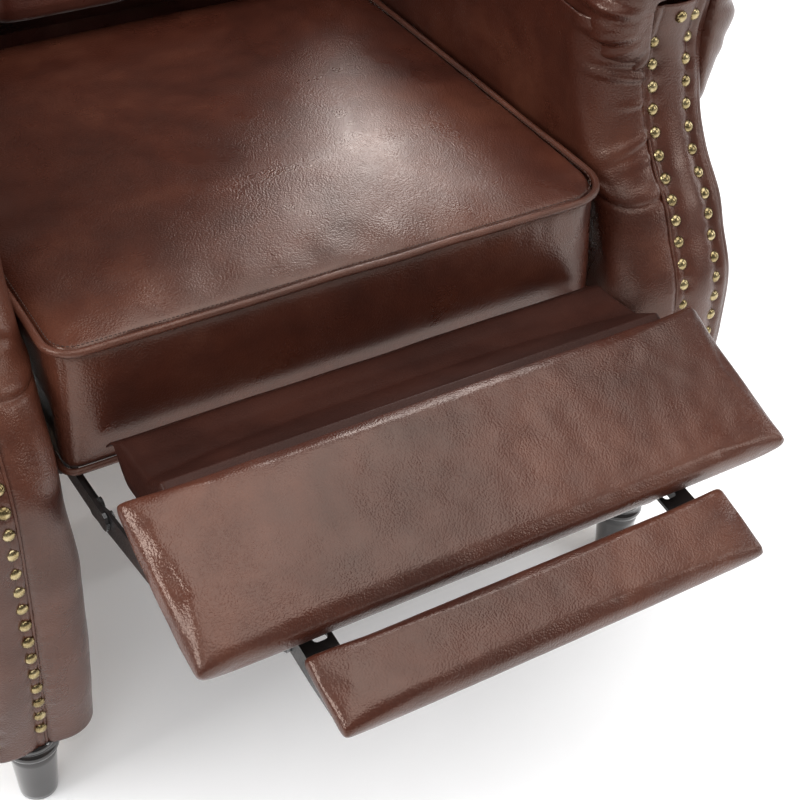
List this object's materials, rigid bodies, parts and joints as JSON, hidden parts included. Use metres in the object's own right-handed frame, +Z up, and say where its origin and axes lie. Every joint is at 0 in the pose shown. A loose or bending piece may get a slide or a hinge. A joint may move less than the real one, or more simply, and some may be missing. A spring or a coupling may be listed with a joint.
{
  "type": "recliner armchair",
  "caption": "Push-back recliner armchair with rolled arms, nailhead trim, tufted back and a folding footrest.",
  "frame": {"origin": "on the floor, under the middle of the chair's width and of its depth with the footrest out", "axes": "+Z up; -Y is the way the sitter faces; +X is on the right seen from in front of the chair, so nodes named right are on +X"},
  "size_m": [0.814, 0.9814, 1.0529],
  "materials": {
    "leather": "glossy mottled dark brown",
    "dark_leather": "semi-gloss dark brown",
    "steel": "black paint",
    "brass": "antique",
    "timber": "raw",
    "espresso": "gloss espresso lacquer",
    "spring_steel": "oiled"
  },
  "bodies": {
    "chair_frame": {"arm_inside_panel_left": "leather", "arm_inside_panel_right": "leather", "arm_front_panel_left": "leather", "arm_front_panel_right": "leather", "arm_outside_panel_left": "leather", "arm_outside_panel_right": "leather", "arm_roll_left": "leather", "arm_roll_right": "leather", "arm_front_post_left": "timber", "arm_front_post_right": "timber", "arm_rear_post_left": "timber", "arm_rear_post_right": "timber", "arm_base_rail_left": "timber", "arm_base_rail_right": "timber", "arm_top_rail_left": "timber", "arm_top_rail_right": "timber", "arm_nail_trim_inner_left": "brass", "arm_nail_trim_inner_right": "brass", "arm_nail_trim_outer_left": "brass", "arm_nail_trim_outer_right": "brass", "leg_front_left": "espresso", "leg_front_right": "espresso", "leg_rear_left": "espresso", "leg_rear_right": "espresso", "seat_track_left": "steel", "seat_track_right": "steel", "back_pivot_bracket_left": "steel", "back_pivot_bracket_right": "steel", "base_cross_rail_middle": "timber", "base_cross_rail_rear": "timber", "rear_base_panel": "leather"},
    "seat": {"seat_cushion": "leather", "seat_front_rail": "timber", "seat_rear_rail": "timber", "seat_spring_1": "spring_steel", "seat_spring_2": "spring_steel", "seat_spring_3": "spring_steel", "seat_side_rail_left": "timber", "seat_side_rail_right": "timber", "footrest_side_plate_left": "steel", "footrest_side_plate_right": "steel"},
    "front_bars": {"footrest_front_bar_left": "steel", "footrest_front_bar_right": "steel"},
    "rear_bars": {"footrest_rear_bar_left": "steel", "footrest_rear_bar_right": "steel"},
    "carriers": {"footrest_carrier_left": "steel", "footrest_carrier_right": "steel"},
    "footrest": {"footrest_pad": "leather", "footrest_board": "timber", "footrest_bracket_left": "steel", "footrest_bracket_right": "steel"},
    "tip_panel": {"tip_pad": "leather", "tip_board": "timber", "tip_arm_left": "steel", "tip_arm_right": "steel"},
    "bridge_flap": {"bridge_flap": "dark_leather"},
    "back": {"back_cushion": "leather", "back_frame": "timber", "back_outer_panel": "leather"}
  },
  "joints": [
    {"name": "back_recline", "type": "hinge", "parent": "chair_frame", "child": "back", "pos_m": [0, 0.35472, 0.38], "axis": [-1, 0, 0], "range_deg": [0, 25]},
    {"name": "seat_slide", "type": "slide", "parent": "chair_frame", "child": "seat", "axis": [0, -1, 0], "range_m": [0, 0.04]},
    {"name": "footrest_fold", "type": "hinge", "parent": "seat", "child": "front_bars", "pos_m": [0, -0.11528, 0.326], "axis": [1, 0, 0], "range_deg": [0, 137]},
    {"name": "rear_bar_pivot", "type": "hinge", "parent": "seat", "child": "rear_bars", "pos_m": [0, -0.08227, 0.31165], "axis": [1, 0, 0], "range_deg": [0, 137]},
    {"name": "carrier_pivot", "type": "hinge", "parent": "front_bars", "child": "carriers", "pos_m": [0, -0.21995, 0.33435], "axis": [1, 0, 0], "range_deg": [-137, 0]},
    {"name": "footrest_tilt", "type": "hinge", "parent": "carriers", "child": "footrest", "pos_m": [0, -0.32431, 0.35534], "axis": [1, 0, 0], "range_deg": [0, 70.35]},
    {"name": "tip_fold", "type": "hinge", "parent": "footrest", "child": "tip_panel", "pos_m": [0, -0.37767, 0.32035], "axis": [1, 0, 0], "range_deg": [0, 165]},
    {"name": "flap_fold", "type": "hinge", "parent": "footrest", "child": "bridge_flap", "pos_m": [0, -0.27139, 0.37954], "axis": [1, 0, 0], "range_deg": [-151, 0]}
  ],
  "couplings": [
    {"joint": "seat_slide", "follows": "back_recline", "m_per_rad": 0.091672},
    {"joint": "rear_bar_pivot", "follows": "footrest_fold", "ratio": 1},
    {"joint": "carrier_pivot", "follows": "footrest_fold", "ratio": -1},
    {"joint": "footrest_tilt", "follows": "footrest_fold", "ratio": 0.5135},
    {"joint": "tip_fold", "follows": "footrest_fold", "ratio": 1.2044},
    {"joint": "flap_fold", "follows": "footrest_fold", "ratio": -1.1022}
  ]
}
